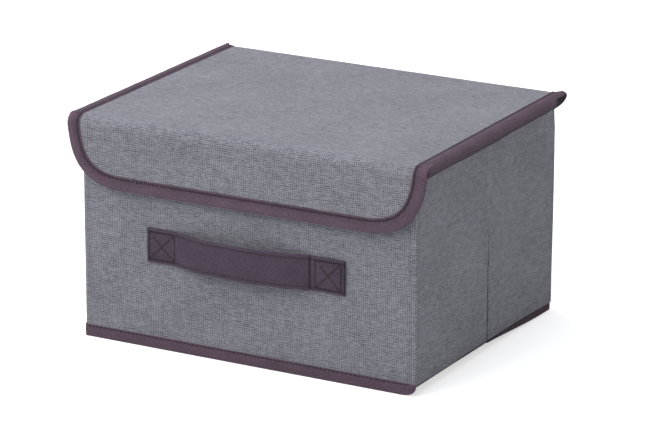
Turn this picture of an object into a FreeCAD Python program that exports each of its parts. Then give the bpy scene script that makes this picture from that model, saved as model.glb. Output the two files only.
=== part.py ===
import FreeCAD, Part
import math
import os

import Sketcher

# Collapsible fabric storage box with a hinged, flapped lid.
# Frame: +X to the right seen from the front, front towards -Y, +Z up.
# Origin: on the table, under the middle of the whole object.
# Every wall is a cardboard sheet between an outer cloth and a lining.

doc = FreeCAD.newDocument("FabricStorageBox")

# Driving dimensions in millimetres, with what each one is
DRIVING_SIZES = [
    ("box_width", 260.0, "outside width over the side walls"),
    ("box_depth", 208.0, "outside depth over the front and back walls"),
    ("rim_height", 158.2, "top of the bound rim above the table"),
    ("wall_lift", 7.0, "bottom edge of the side and back walls above the table"),
    ("fabric", 0.6, "outer cloth"),
    ("board", 2.0, "cardboard in the walls and the lid"),
    ("board_setback", 1.2, "end of a front or back board short of the cloth at the corner"),
    ("lining", 0.4, "lining cloth"),
    ("tape", 0.4, "binding tape, one layer"),
    ("tape_width", 9.5, "binding tape, seen width after folding"),
    ("seat_gap", 0.3, "clearance between neighbouring pieces"),
    ("crease_gap", 0.2, "clearance of a fold line beyond the faces that meet there"),
    ("base_board", 1.8, "cardboard in the base leaves"),
    ("base_cloth", 0.3, "cloth above and below the base boards"),
    ("base_gap", 0.5, "height of the walls' bottom edges above the base"),
    ("base_side_gap", 0.4, "base edge to the lining of a wall"),
    ("base_foot", 1.2, "thickness of the hanging seam at the base's rear edge"),
    ("base_tape_width", 8.0, "binding tape on the base's top and underside"),
    ("flap_board", 1.8, "cardboard in the lid flap"),
    ("flap_gap", 0.4, "flap to the bound rim of the front wall"),
    ("flap_drop", 49.5, "lid top to the flap's lower edge"),
    ("crease_radius", 7.0, "soft fold of the cloth between the lid and the flap"),
    ("flap_hang", 0.5, "flap's top below the end of the soft fold"),
    ("hinge_room", 3.0, "lid board short of the back wall's face, for the soft hinge"),
    ("flap_radius", 31.0, "lower corners of the flap"),
    ("flap_tape_width", 8.5, "binding tape on the flap, seen width"),
    ("flap_inset", 2.6, "flap's side edge inside the lid's side edge"),
    ("flap_board_inset", 9.0, "flap board inside the flap's edge"),
    ("lid_overhang", 9.6, "lid's side edge beyond the side wall"),
    ("lid_board_inset", 2.0, "lid board inside the side wall's face"),
    ("lip_drop", 12.1, "lid top to the lower edge of its side binding"),
    ("lip_lean", 4.4, "lower edge of the side binding inside the lid's edge"),
    ("lip_gap", 1.2, "side binding to the bound rim of a side wall"),
    ("lip_return", 6.6, "height of the binding's inner layer"),
    ("tape_slant", 1.2, "drop of the side binding's top at the front end"),
    ("seam_thickness", 1.0, "outer cloth and lining in the front bottom seam"),
    ("seam_trim_length", 12.0, "tapered right end of the front bottom seam"),
    ("seam_trim_height", 6.8, "rise of the tapered end, below the walls' bottom edges"),
    ("strap_thickness", 1.2, "handle strap"),
    ("strap_width", 25.0, "handle strap"),
    ("strap_length", 154.4, "handle strap, end to end"),
    ("strap_height", 75.5, "middle of the strap above the table"),
    ("strap_bow", 9.0, "strap's free middle off the wall"),
    ("strap_bend", 45.0, "radius where the strap leaves the wall"),
    ("left_patch", 22.0, "sewn length at the strap's left end"),
    ("right_patch", 27.0, "sewn length at the strap's right end"),
    ("stitch_box_width", 18.6, "box stitch on the strap"),
    ("stitch_box_height", 19.6, "box stitch on the strap"),
    ("thread_width", 0.8, "sewing thread line"),
    ("thread_height", 0.3, "sewing thread above the strap"),
]

sizes = doc.addObject("Spreadsheet::Sheet", "Sizes")
for row, (alias, value, meaning) in enumerate(DRIVING_SIZES, start=1):
    sizes.set(f"A{row}", meaning)
    sizes.set(f"B{row}", str(value))
    sizes.setAlias(f"B{row}", alias)
doc.recompute()

# Places worked out from the driving dimensions, in the row frame
places = doc.addObject("App::VarSet", "Places")


def set_place(name, expression):
    places.addProperty("App::PropertyFloat", name)
    places.setExpression(name, expression)


# Faces and edges of the walls
set_place("side_face", "Sizes.box_width / 2")
set_place("front_face", "(Sizes.strap_thickness + Sizes.strap_bow - Sizes.box_depth) / 2")
set_place("back_face", "front_face + Sizes.box_depth")
set_place("wall", "Sizes.fabric + Sizes.board + Sizes.lining")
set_place("side_inner", "side_face - wall")
set_place("front_inner", "front_face + wall")
set_place("back_inner", "back_face - wall")
set_place("wall_top", "Sizes.rim_height - Sizes.tape")
set_place("rim_tape_foot", "Sizes.rim_height - Sizes.tape_width")

# Levels of the base, and its two hinge lines
set_place("base_top", "Sizes.wall_lift - Sizes.base_gap")
set_place("base_lining_top", "base_top - Sizes.tape")
set_place("base_board_top", "base_lining_top - Sizes.base_cloth")
set_place("base_board_foot", "base_board_top - Sizes.base_board")
set_place("base_cover_foot", "base_board_foot - Sizes.base_cloth")
set_place("base_under", "base_cover_foot - Sizes.tape")
set_place("base_hinge_y", "front_inner + Sizes.base_side_gap")
set_place("base_crease_y", "(base_hinge_y + back_face) / 2")
set_place("base_crease_z", "base_under - Sizes.crease_gap")
set_place("base_stack", "2 * (base_top - base_crease_z)")
set_place("base_side", "side_inner - Sizes.base_side_gap")
set_place("base_start", "base_hinge_y + Sizes.base_foot + Sizes.seat_gap")

# Fold lines of the side walls; raised base leaves fit in front of the front one
set_place("front_pivot_y", "base_hinge_y + base_stack + Sizes.base_side_gap")
set_place("rear_pivot_y", "back_inner - Sizes.tape - Sizes.seat_gap")
set_place("crease_y", "(front_pivot_y + rear_pivot_y) / 2")
set_place("crease_x", "side_face + Sizes.tape + Sizes.crease_gap")
set_place("corner_end", "front_pivot_y - Sizes.seat_gap")

# Front bottom seam: cloth and lining hang below the board, inside the tape
set_place("seam_top", "Sizes.tape_width + Sizes.seat_gap + Sizes.lining")
set_place("seam_inner", "front_face + Sizes.seam_thickness")

# Lid and flap
set_place("lid_foot", "Sizes.rim_height + Sizes.seat_gap")
set_place("lid_board_foot", "lid_foot + Sizes.lining")
set_place("lid_board_top", "lid_board_foot + Sizes.board")
set_place("lid_top", "lid_board_top + Sizes.fabric")
set_place("lid_side", "side_face + Sizes.lid_overhang")
set_place("lid_board_side", "side_face - Sizes.lid_board_inset")
set_place("lid_flange", "lid_side - 2 * Sizes.tape - Sizes.seat_gap")
set_place("lid_rear", "back_face - Sizes.fabric - Sizes.seat_gap")
set_place("flap_inner", "front_face - Sizes.tape - Sizes.flap_gap")
set_place("flap_lining_in", "flap_inner - Sizes.tape")
set_place("flap_lining_out", "flap_lining_in - Sizes.lining")
set_place("flap_board_out", "flap_lining_out - Sizes.flap_board")
set_place("flap_face", "flap_board_out - Sizes.fabric")
set_place("flap_outer", "flap_face - Sizes.tape")
set_place("lid_front", "flap_inner + Sizes.seat_gap")
set_place("crease_start", "flap_face + Sizes.crease_radius")
set_place("crease_foot", "lid_top - Sizes.crease_radius - Sizes.seat_gap")
set_place("flap_top", "crease_foot - Sizes.flap_hang")
set_place("flap_foot", "lid_top - Sizes.flap_drop")
set_place("flap_side", "lid_side - Sizes.flap_inset")
set_place("lip_foot", "lid_top - Sizes.lip_drop")
set_place("lip_outer", "lid_side - Sizes.lip_lean")
set_place("lip_inner", "side_face + Sizes.tape + Sizes.lip_gap")

# Handle
set_place("strap_left", "-Sizes.strap_length / 2")
set_place("strap_right", "Sizes.strap_length / 2")
set_place("strap_face", "front_face - Sizes.strap_thickness")
doc.recompute()

parts = []


def value(expression):
    """Number that an expression gives now."""
    return float(sizes.evalExpression(expression))


def keep(obj, label):
    obj.Label = label
    parts.append(obj)
    return obj


def sheet_box(label, x, y, z):
    """Flat rectangular sheet between a low and a high place on each axis."""
    obj = doc.addObject("Part::Box", label)
    for axis, side, (low, high) in zip("xyz", ("Length", "Width", "Height"), (x, y, z)):
        obj.setExpression(side, f"({high}) - ({low})")
        obj.setExpression("Placement.Base." + axis, low)
    return keep(obj, label)


def new_body(label):
    return keep(doc.addObject("PartDesign::Body", label), label)


def draw(body, plane, low, high, loops):
    """Sketch of closed outlines on an origin plane, every corner tied to its expressions."""
    sketch = body.newObject("Sketcher::SketchObject", body.Name + "_sketch")
    origin_plane = [item for item in body.Origin.OriginFeatures if item.Role == plane + "_Plane"][0]
    sketch.AttachmentSupport = [(origin_plane, "")]
    sketch.MapMode = "FlatFace"
    offset = f"-({high})" if plane == "XZ" else low
    sketch.setExpression("AttachmentOffset.Base.z", offset)
    for corners in loops:
        first = sketch.GeometryCount
        spots = [FreeCAD.Vector(value(u), value(v), 0) for u, v in corners]
        for number, spot in enumerate(spots):
            following = spots[(number + 1) % len(spots)]
            sketch.addGeometry(Part.LineSegment(spot, following), False)
        for number, (u, v) in enumerate(corners):
            line = first + number
            next_line = first + (number + 1) % len(corners)
            sketch.addConstraint(Sketcher.Constraint("Coincident", line, 2, next_line, 1))
            for kind, text in (("DistanceX", u), ("DistanceY", v)):
                rule = Sketcher.Constraint(kind, -1, 1, line, 1, value(text))
                index = sketch.addConstraint(rule)
                sketch.setExpression(f"Constraints[{index}]", text)
    return sketch


def pad(body, plane, corners, low, high, holes=()):
    """Solid between two places along the plane's axis: XY gives Z, XZ gives Y, YZ gives X."""
    feature = body.newObject("PartDesign::Pad", body.Name + "_pad")
    feature.Profile = draw(body, plane, low, high, [corners, *holes])
    feature.setExpression("Length", f"({high}) - ({low})")
    doc.recompute()
    return feature


def pocket(body, plane, corners, low, high):
    """Cut between two places along the plane's axis; it has to remove material."""
    before = body.Shape.Volume
    sketch = draw(body, plane, low, high, [corners])
    feature = body.newObject("PartDesign::Pocket", body.Name + "_pocket")
    feature.Profile = sketch
    feature.Reversed = True
    feature.setExpression("Length", f"({high}) - ({low})")
    doc.recompute()
    if body.Shape.Volume >= before:
        raise RuntimeError(body.Label + ": a pocket cuts nothing")
    return feature


def fillet(body, radius, axis, spots):
    """Round the straight edges along one axis that pass through the given places."""
    base = body.Tip
    others = [number for number in range(3) if number != "XYZ".index(axis)]
    targets = [(value(u), value(v)) for u, v in spots]
    names = []
    for number, edge in enumerate(base.Shape.Edges, start=1):
        ends = [vertex.Point for vertex in edge.Vertexes]
        if len(ends) != 2:
            continue
        for target in targets:
            if all(abs(end[other] - place) < 0.01
                   for end in ends for other, place in zip(others, target)):
                names.append(f"Edge{number}")
    if len(names) < len(spots):
        raise RuntimeError(body.Label + ": an edge to round is missing")
    feature = body.newObject("PartDesign::Fillet", body.Name + "_fillet")
    feature.Base = (base, names)
    feature.setExpression("Radius", radius)
    doc.recompute()
    return feature


def minus(text):
    return f"-({text})"


def rectangle(u_low, u_high, v_low, v_high):
    return [(u_low, v_low), (u_high, v_low), (u_high, v_high), (u_low, v_high)]


def mirrored(corners):
    """The same outline on the other side of X = 0."""
    return [(minus(u), v) for u, v in reversed(corners)]


def span(low, high, sign):
    """A range on X, kept in rising order when it is mirrored to the left."""
    return (low, high) if sign > 0 else (minus(high), minus(low))


# Front wall. Its cloth and lining turn the corners and end at the side walls' fold lines.
CLOTH_INSIDE = "Places.side_face - Sizes.fabric"
BOARD_WIDTH = (minus(f"{CLOTH_INSIDE} - Sizes.board_setback"),
               f"{CLOTH_INSIDE} - Sizes.board_setback")


def corner_plan(half_width, face, thickness):
    """Plan outline of a sheet across the front that returns along both sides."""
    inner_width = f"{half_width} - {thickness}"
    inner_face = f"{face} + {thickness}"
    return [
        (minus(half_width), face), (half_width, face), (half_width, "Places.corner_end"),
        (inner_width, "Places.corner_end"), (inner_width, inner_face),
        (minus(inner_width), inner_face), (minus(inner_width), "Places.corner_end"),
        (minus(half_width), "Places.corner_end"),
    ]


SEAM_END = [
    ("Places.side_face - Sizes.seam_trim_length", minus("Sizes.tape")),
    ("Places.side_face + Sizes.tape", minus("Sizes.tape")),
    ("Places.side_face + Sizes.tape", "Sizes.seam_trim_height"),
]


def trim_seam(body):
    """The bottom seam's right end is trimmed to a slant."""
    pocket(body, "XZ", SEAM_END, "Places.front_face - 2 * Sizes.tape",
           "Places.front_inner + 2 * Sizes.tape")


def front_outer_fabric():
    body = new_body("front_outer_fabric")
    pad(body, "XY", corner_plan("Places.side_face", "Places.front_face", "Sizes.fabric"),
        "Sizes.wall_lift", "Places.wall_top")
    pad(body, "XY", rectangle("-Places.side_face", "Places.side_face",
                              "Places.front_face", "Places.front_face + Sizes.fabric"),
        "Sizes.tape", "Sizes.wall_lift")
    trim_seam(body)


def front_lining():
    body = new_body("front_lining")
    room = "Places.side_face - Sizes.fabric"
    seam_out = "Places.front_face + Sizes.fabric"
    board_in = "Places.front_inner - Sizes.lining"
    profile = [
        ("Places.front_inner", "Places.wall_top"), (board_in, "Places.wall_top"),
        (board_in, "Places.seam_top"), (seam_out, "Places.seam_top"),
        (seam_out, "Sizes.tape"), ("Places.seam_inner", "Sizes.tape"),
        ("Places.seam_inner", "Places.seam_top - Sizes.lining"),
        ("Places.front_inner", "Places.seam_top - Sizes.lining"),
    ]
    pad(body, "YZ", profile, minus(room), room)
    side_out = "Places.side_inner + Sizes.lining"
    for sign in (1, -1):
        low, high = span("Places.side_inner", side_out, sign)
        pad(body, "XY", rectangle(low, high, "Places.front_inner", "Places.corner_end"),
            "Sizes.wall_lift", "Places.wall_top")
    trim_seam(body)


def front_rim_binding():
    """Tape folded over the rim: across the front and round both corners."""
    body = new_body("front_rim_binding")
    pad(body, "XY", corner_plan("Places.side_face + Sizes.tape", "Places.front_face - Sizes.tape",
                                "(Places.wall + 2 * Sizes.tape)"),
        "Places.rim_tape_foot", "Sizes.rim_height")
    pocket(body, "XY", corner_plan("Places.side_face", "Places.front_face", "Places.wall"),
           "Places.rim_tape_foot", "Places.wall_top")


def front_bottom_binding():
    """Tape folded under the seam that joins the front cloth and the base."""
    body = new_body("front_bottom_binding")
    out = "Places.front_face - Sizes.tape"
    inner = "Places.seam_inner + Sizes.tape"
    top = "Sizes.tape_width"
    outer_layer = [
        (out, top), (out, "0"), (inner, "0"), (inner, "Sizes.tape"),
        ("Places.front_face", "Sizes.tape"), ("Places.front_face", top),
    ]
    pad(body, "YZ", outer_layer, "-Places.side_face", "Places.side_face")
    # The inner layer stops short of the cloth that turns the corners
    half_width = "Places.side_face - Sizes.fabric - Sizes.seat_gap"
    pad(body, "YZ", rectangle("Places.seam_inner", inner, "0", top), minus(half_width), half_width)
    trim_seam(body)


def handle_strap():
    """Strap sewn flat at both ends, bowed off the wall between them by tangent arcs."""
    start = value("Places.strap_left + Sizes.left_patch")
    finish = value("Places.strap_right - Sizes.right_patch")
    bow = value("Sizes.strap_bow")
    bend = value("Sizes.strap_bend")
    thickness = value("Sizes.strap_thickness")
    wall_y = value("Places.front_face")
    middle = (start + finish) / 2
    half_span = (finish - start) / 2
    turn = 2 * math.atan(bow / half_span)
    crown = half_span / math.sin(turn) - bend

    def on_bend(centre_x, direction, angle, layer):
        radius = bend - layer
        return FreeCAD.Vector(centre_x + direction * radius * math.sin(angle),
                              wall_y - bend + radius * math.cos(angle), 0)

    def on_crown(angle, layer):
        radius = crown + layer
        return FreeCAD.Vector(middle + radius * math.sin(angle),
                              wall_y - bow + crown - radius * math.cos(angle), 0)

    def side_of_strap(layer):
        """Arcs and tabs of one face, from the left end to the right end."""
        left_end = FreeCAD.Vector(value("Places.strap_left"), wall_y - layer, 0)
        right_end = FreeCAD.Vector(value("Places.strap_right"), wall_y - layer, 0)
        left_bend = [on_bend(start, 1, turn * share, layer) for share in (0, 0.5, 1)]
        right_bend = [on_bend(finish, -1, turn * share, layer) for share in (1, 0.5, 0)]
        return [
            Part.LineSegment(left_end, left_bend[0]),
            Part.Arc(*left_bend),
            Part.Arc(left_bend[2], on_crown(0, layer), right_bend[0]),
            Part.Arc(*right_bend),
            Part.LineSegment(right_bend[2], right_end),
        ]

    inside = side_of_strap(0)
    outside = side_of_strap(thickness)
    ends = [
        Part.LineSegment(inside[0].StartPoint, outside[0].StartPoint),
        Part.LineSegment(inside[-1].EndPoint, outside[-1].EndPoint),
    ]
    edges = [curve.toShape() for curve in inside + outside + ends]
    outline = Part.Wire(Part.sortEdges(edges)[0])
    strap = Part.Face(outline).extrude(FreeCAD.Vector(0, 0, value("Sizes.strap_width")))
    feature = doc.addObject("Part::Feature", "handle_strap")
    feature.Shape = strap
    feature.Placement.Base.z = value("Sizes.strap_height - Sizes.strap_width / 2")
    keep(feature, "handle_strap")


def handle_stitching(label, centre):
    """Box stitch with a cross, sewn through a strap end."""
    body = new_body(label)
    across = "Sizes.stitch_box_width / 2"
    along = "Sizes.stitch_box_height / 2"
    inside_x = f"({across} - Sizes.thread_width)"
    inside_z = f"({along} - Sizes.thread_width)"
    slant = f"sqrt({inside_x} ^ 2 + {inside_z} ^ 2)"
    shift_x = f"(Sizes.thread_width / 2 * {slant} / {inside_z})"
    shift_z = f"(Sizes.thread_width / 2 * {slant} / {inside_x})"

    def spot(u, v):
        return (f"{centre} + ({u})", f"Sizes.strap_height + ({v})")

    frame = rectangle(minus(across), across, minus(along), along)
    corner_x = f"{inside_x} - {shift_x}"
    corner_z = f"{inside_z} - {shift_z}"
    upper_window = [(minus(corner_x), inside_z), (corner_x, inside_z), ("0", shift_z)]
    right_window = [(inside_x, minus(corner_z)), (inside_x, corner_z), (shift_x, "0")]
    windows = []
    for window in (upper_window, right_window):
        windows.append([spot(u, v) for u, v in window])
        windows.append([spot(minus(u), minus(v)) for u, v in window])
    pad(body, "XZ", [spot(u, v) for u, v in frame],
        "Places.strap_face - Sizes.thread_height", "Places.strap_face", holes=windows)


front_outer_fabric()
sheet_box("front_board", BOARD_WIDTH,
          ("Places.front_face + Sizes.fabric", "Places.front_inner - Sizes.lining"),
          ("Places.seam_top", "Places.wall_top"))
front_lining()
front_rim_binding()
front_bottom_binding()
handle_strap()
handle_stitching("handle_left_stitching", "Places.strap_left + Sizes.left_patch / 2")
handle_stitching("handle_right_stitching", "Places.strap_right - Sizes.right_patch / 2")


# Base: two leaves that fold up against the front wall along a crease across the middle
def base_sheet(label, leaf, margin, foot, top):
    """Flat layer of a base leaf, with its side edges a margin inside the leaf's."""
    half_width = f"Places.base_side - {margin}"
    if leaf == "front":
        y = ("Places.base_start", "Places.base_crease_y - Sizes.seat_gap")
    else:
        y = ("Places.base_crease_y + Sizes.seat_gap", "Places.back_face - 2 * Sizes.tape")
    sheet_box(label, (minus(half_width), half_width), y, (foot, top))


def base_side_binding(leaf, side, sign):
    """Tape folded round a side edge of a base leaf."""
    body = new_body(f"base_{leaf}_{side}_binding")
    edge = "Places.base_side"
    inside = "Places.base_side - Sizes.base_tape_width"
    profile = [
        (inside, "Places.base_under"), (edge, "Places.base_under"), (edge, "Places.base_top"),
        (inside, "Places.base_top"), (inside, "Places.base_lining_top"),
        (f"{edge} - Sizes.tape", "Places.base_lining_top"),
        (f"{edge} - Sizes.tape", "Places.base_cover_foot"), (inside, "Places.base_cover_foot"),
    ]
    if leaf == "front":
        y = ("Places.base_start", "Places.base_crease_y - Sizes.seat_gap")
    else:
        y = ("Places.base_crease_y + Sizes.seat_gap",
             "Places.back_face - Sizes.base_tape_width - Sizes.seat_gap")
    pad(body, "XZ", profile if sign > 0 else mirrored(profile), *y)


def base_rear_cover():
    """Bottom cloth of the rear leaf; its edge hangs down as a seam to the table."""
    body = new_body("base_rear_cover")
    tail_out = "Places.back_face - Sizes.tape"
    tail_in = "Places.back_face - Sizes.base_foot + Sizes.tape"
    half_width = "Places.base_side - Sizes.tape"
    profile = [
        ("Places.base_crease_y + Sizes.seat_gap", "Places.base_cover_foot"),
        (tail_in, "Places.base_cover_foot"), (tail_in, "Sizes.tape"), (tail_out, "Sizes.tape"),
        (tail_out, "Places.base_board_foot"),
        ("Places.base_crease_y + Sizes.seat_gap", "Places.base_board_foot"),
    ]
    pad(body, "YZ", profile, minus(half_width), half_width)


def base_rear_binding():
    """Tape over the base's rear edge and round the seam that hangs from it to the table."""
    body = new_body("base_rear_binding")
    out = "Places.back_face"
    inner = "Places.back_face - Sizes.base_foot"
    tip = "Places.back_face - Sizes.base_tape_width"
    profile = [
        (tip, "Places.base_top"), (out, "Places.base_top"), (out, "0"), (inner, "0"),
        (inner, "Places.base_cover_foot"), (f"{inner} + Sizes.tape", "Places.base_cover_foot"),
        (f"{inner} + Sizes.tape", "Sizes.tape"), (f"{out} - Sizes.tape", "Sizes.tape"),
        (f"{out} - Sizes.tape", "Places.base_lining_top"), (tip, "Places.base_lining_top"),
    ]
    pad(body, "YZ", profile, "-Places.base_side", "Places.base_side")


for leaf in ("front", "rear"):
    base_sheet(f"base_{leaf}_board", leaf, "2 * Sizes.tape",
               "Places.base_board_foot", "Places.base_board_top")
    base_sheet(f"base_{leaf}_lining", leaf, "Sizes.tape",
               "Places.base_board_top", "Places.base_lining_top")
    base_side_binding(leaf, "right", 1)
    base_side_binding(leaf, "left", -1)
base_sheet("base_front_cover", "front", "Sizes.tape",
           "Places.base_cover_foot", "Places.base_board_foot")
base_rear_cover()
base_rear_binding()


# Side walls: two halves each, hinged at the corners and at a crease between them
def side_half(side, sign, half, y):
    name = f"{side}_{half}"
    face = "Places.side_face"
    inner = "Places.side_inner"
    board_out = f"{face} - Sizes.fabric"
    board_in = f"{inner} + Sizes.lining"
    hem_top = "Sizes.wall_lift + Sizes.fabric"
    cloth = [
        (board_in, "Sizes.wall_lift"), (face, "Sizes.wall_lift"), (face, "Places.wall_top"),
        (board_out, "Places.wall_top"), (board_out, hem_top), (board_in, hem_top),
    ]
    tape_out = f"{face} + Sizes.tape"
    tape_in = f"{inner} - Sizes.tape"
    binding = [
        (tape_in, "Places.rim_tape_foot"), (inner, "Places.rim_tape_foot"),
        (inner, "Places.wall_top"), (face, "Places.wall_top"),
        (face, "Places.rim_tape_foot"), (tape_out, "Places.rim_tape_foot"),
        (tape_out, "Sizes.rim_height"), (tape_in, "Sizes.rim_height"),
    ]
    for label, profile in (("outer_fabric", cloth), ("rim_binding", binding)):
        body = new_body(f"{name}_{label}")
        pad(body, "XZ", profile if sign > 0 else mirrored(profile), *y)
    sheet_box(f"{name}_board", span(board_in, board_out, sign), y, (hem_top, "Places.wall_top"))
    sheet_box(f"{name}_lining", span(inner, board_in, sign), y,
              ("Sizes.wall_lift", "Places.wall_top"))


FRONT_HALF = ("Places.front_pivot_y + 2 * Sizes.seat_gap", "Places.crease_y - Sizes.seat_gap")
REAR_HALF = ("Places.crease_y + Sizes.seat_gap", "Places.rear_pivot_y - 2 * Sizes.seat_gap")
for side, sign in (("right", 1), ("left", -1)):
    side_half(side, sign, "front", FRONT_HALF)
    side_half(side, sign, "rear", REAR_HALF)


# Back wall: its cloth wraps the board and runs up behind the lid as the hinge
def back_outer_fabric():
    body = new_body("back_outer_fabric")
    side = "Places.side_face"
    out = "Places.back_face"
    board_out = "Places.back_face - Sizes.fabric"
    wrap = [
        (minus(side), "Places.back_inner"), (minus(side), out), (side, out),
        (side, "Places.back_inner"), (CLOTH_INSIDE, "Places.back_inner"),
        (CLOTH_INSIDE, board_out), (minus(CLOTH_INSIDE), board_out),
        (minus(CLOTH_INSIDE), "Places.back_inner"),
    ]
    pad(body, "XY", wrap, "Sizes.wall_lift", "Places.wall_top")
    pad(body, "XY", rectangle(minus(side), side, board_out, out),
        "Places.wall_top", "Places.lid_top - Sizes.seat_gap")
    pad(body, "XY", rectangle(minus(side), side, "Places.back_inner + Sizes.lining", out),
        "Sizes.wall_lift", "Sizes.wall_lift + Sizes.fabric")


back_outer_fabric()
sheet_box("back_board", BOARD_WIDTH,
          ("Places.back_inner + Sizes.lining", "Places.back_face - Sizes.fabric"),
          ("Sizes.wall_lift + Sizes.fabric", "Places.wall_top"))
sheet_box("back_lining", (minus(CLOTH_INSIDE), CLOTH_INSIDE),
          ("Places.back_inner", "Places.back_inner + Sizes.lining"),
          ("Sizes.wall_lift", "Places.wall_top"))


# Lid: cloth and lining meet beyond the board as a flange, and the tape hangs from it as a lip
def lid_lining():
    body = new_body("lid_lining")
    flange_foot = "Places.lid_board_top - Sizes.lining"
    step_out = "Places.lid_board_side + Sizes.lining"
    right = [
        (step_out, "Places.lid_foot"), (step_out, flange_foot),
        ("Places.lid_flange", flange_foot), ("Places.lid_flange", "Places.lid_board_top"),
        ("Places.lid_board_side", "Places.lid_board_top"),
        ("Places.lid_board_side", "Places.lid_board_foot"),
    ]
    pad(body, "XZ", right + mirrored(right), "Places.crease_start", "Places.lid_rear")


def lid_binding(side, sign):
    """Folded tape: flat on the lid, turned over the flange and hanging open beside the wall."""
    body = new_body(f"lid_{side}_binding")
    start = "Places.lid_side - Sizes.tape_width - Sizes.tape"
    top = "Places.lid_top + Sizes.tape"
    foot_top = "Places.lip_foot + Sizes.tape"
    profile = [
        (start, "Places.lid_top"), (start, top), ("Places.lid_side", top),
        ("Places.lip_outer", "Places.lip_foot"), ("Places.lip_inner", "Places.lip_foot"),
        ("Places.lip_inner", "Places.lip_foot + Sizes.lip_return"),
        ("Places.lip_inner + Sizes.tape", "Places.lip_foot + Sizes.lip_return"),
        ("Places.lip_inner + Sizes.tape", foot_top), ("Places.lip_outer - Sizes.tape", foot_top),
        ("Places.lid_side - 1.5 * Sizes.tape", "Places.lid_top"),
    ]
    pad(body, "XZ", profile if sign > 0 else mirrored(profile),
        "Places.lid_front", "Places.lid_rear")
    # The front end follows the soft fold downwards
    slant = [
        ("Places.crease_start", top), ("Places.lid_front", top),
        ("Places.lid_front", "Places.lid_top - Sizes.tape_slant"),
    ]
    pocket(body, "YZ", slant, *span(start, "Places.lid_side", sign))


def lid_outer_fabric():
    """Cloth over the lid, with the soft fold from which the flap hangs."""
    body = new_body("lid_outer_fabric")
    profile = [
        ("Places.lid_rear", "Places.lid_board_top"), ("Places.lid_rear", "Places.lid_top"),
        ("Places.flap_face", "Places.lid_top"), ("Places.flap_face", "Places.crease_foot"),
        ("Places.flap_board_out", "Places.crease_foot"),
        ("Places.flap_board_out", "Places.lid_board_top"),
    ]
    pad(body, "YZ", profile, minus("Places.lid_flange"), "Places.lid_flange")
    fillet(body, "Sizes.crease_radius", "X", [("Places.flap_face", "Places.lid_top")])
    fillet(body, "Sizes.crease_radius - Sizes.fabric", "X",
           [("Places.flap_board_out", "Places.lid_board_top")])


lid_outer_fabric()
sheet_box("lid_board", (minus("Places.lid_board_side"), "Places.lid_board_side"),
          ("Places.crease_start", "Places.back_face - Sizes.hinge_room"),
          ("Places.lid_board_foot", "Places.lid_board_top"))
lid_lining()
lid_binding("right", 1)
lid_binding("left", -1)


# Flap: hangs from the lid's front edge, rounded at its lower corners
def flap_plate(label, inset, y, top="Places.flap_top"):
    """Plate of the flap's outline drawn in by an inset."""
    body = doc.addObject("PartDesign::Body", label)
    half_width = f"(Places.flap_side - {inset})"
    foot = f"Places.flap_foot + {inset}"
    pad(body, "XZ", rectangle(minus(half_width), half_width, foot, top), *y)
    fillet(body, f"Sizes.flap_radius - {inset}", "Y",
           [(half_width, foot), (minus(half_width), foot)])
    return body


def flap_binding():
    """Tape folded round the sides and the lower edge of the flap."""
    over_top = "Places.flap_top + Sizes.tape"
    outside = ("Places.flap_outer", "Places.flap_inner")
    hollows = doc.addObject("Part::MultiFuse", "flap_binding_hollows")
    hollows.Shapes = [
        flap_plate("flap_binding_slot", "Sizes.tape",
                   ("Places.flap_face", "Places.flap_lining_in"), over_top),
        flap_plate("flap_binding_window", "Sizes.flap_tape_width", outside, over_top),
    ]
    binding = doc.addObject("Part::Cut", "flap_binding")
    binding.Base = flap_plate("flap_binding_blank", "0", outside)
    binding.Tool = hollows
    keep(binding, "flap_binding")


FLAP_LAYERS = [
    ("flap_outer_fabric", "Sizes.tape", ("Places.flap_face", "Places.flap_board_out")),
    ("flap_board", "Sizes.flap_board_inset", ("Places.flap_board_out", "Places.flap_lining_out")),
    ("flap_lining", "Sizes.tape", ("Places.flap_lining_out", "Places.flap_lining_in")),
]
for label, inset, y in FLAP_LAYERS:
    keep(flap_plate(label, inset, y), label)
flap_binding()

# Check every object before anything is written
doc.recompute()
for obj in doc.Objects:
    if "Invalid" in obj.State or "Error" in obj.State:
        raise RuntimeError(f"{obj.Name}: {obj.State}")
os.makedirs("parts", exist_ok=True)
for obj in parts:
    if obj.Shape.isNull() or not obj.Shape.isValid() or not obj.Shape.Solids:
        raise RuntimeError(obj.Label + ": no valid solid")
for obj in parts:
    obj.Shape.exportStep(f"parts/{obj.Label}.step")
print(len(parts), "parts written")
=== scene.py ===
"""Dressed model of a collapsible fabric storage box: cloth, tapes, thread and cardboard over the frame."""
import math

import bmesh
import bpy
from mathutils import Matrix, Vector, noise


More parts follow.
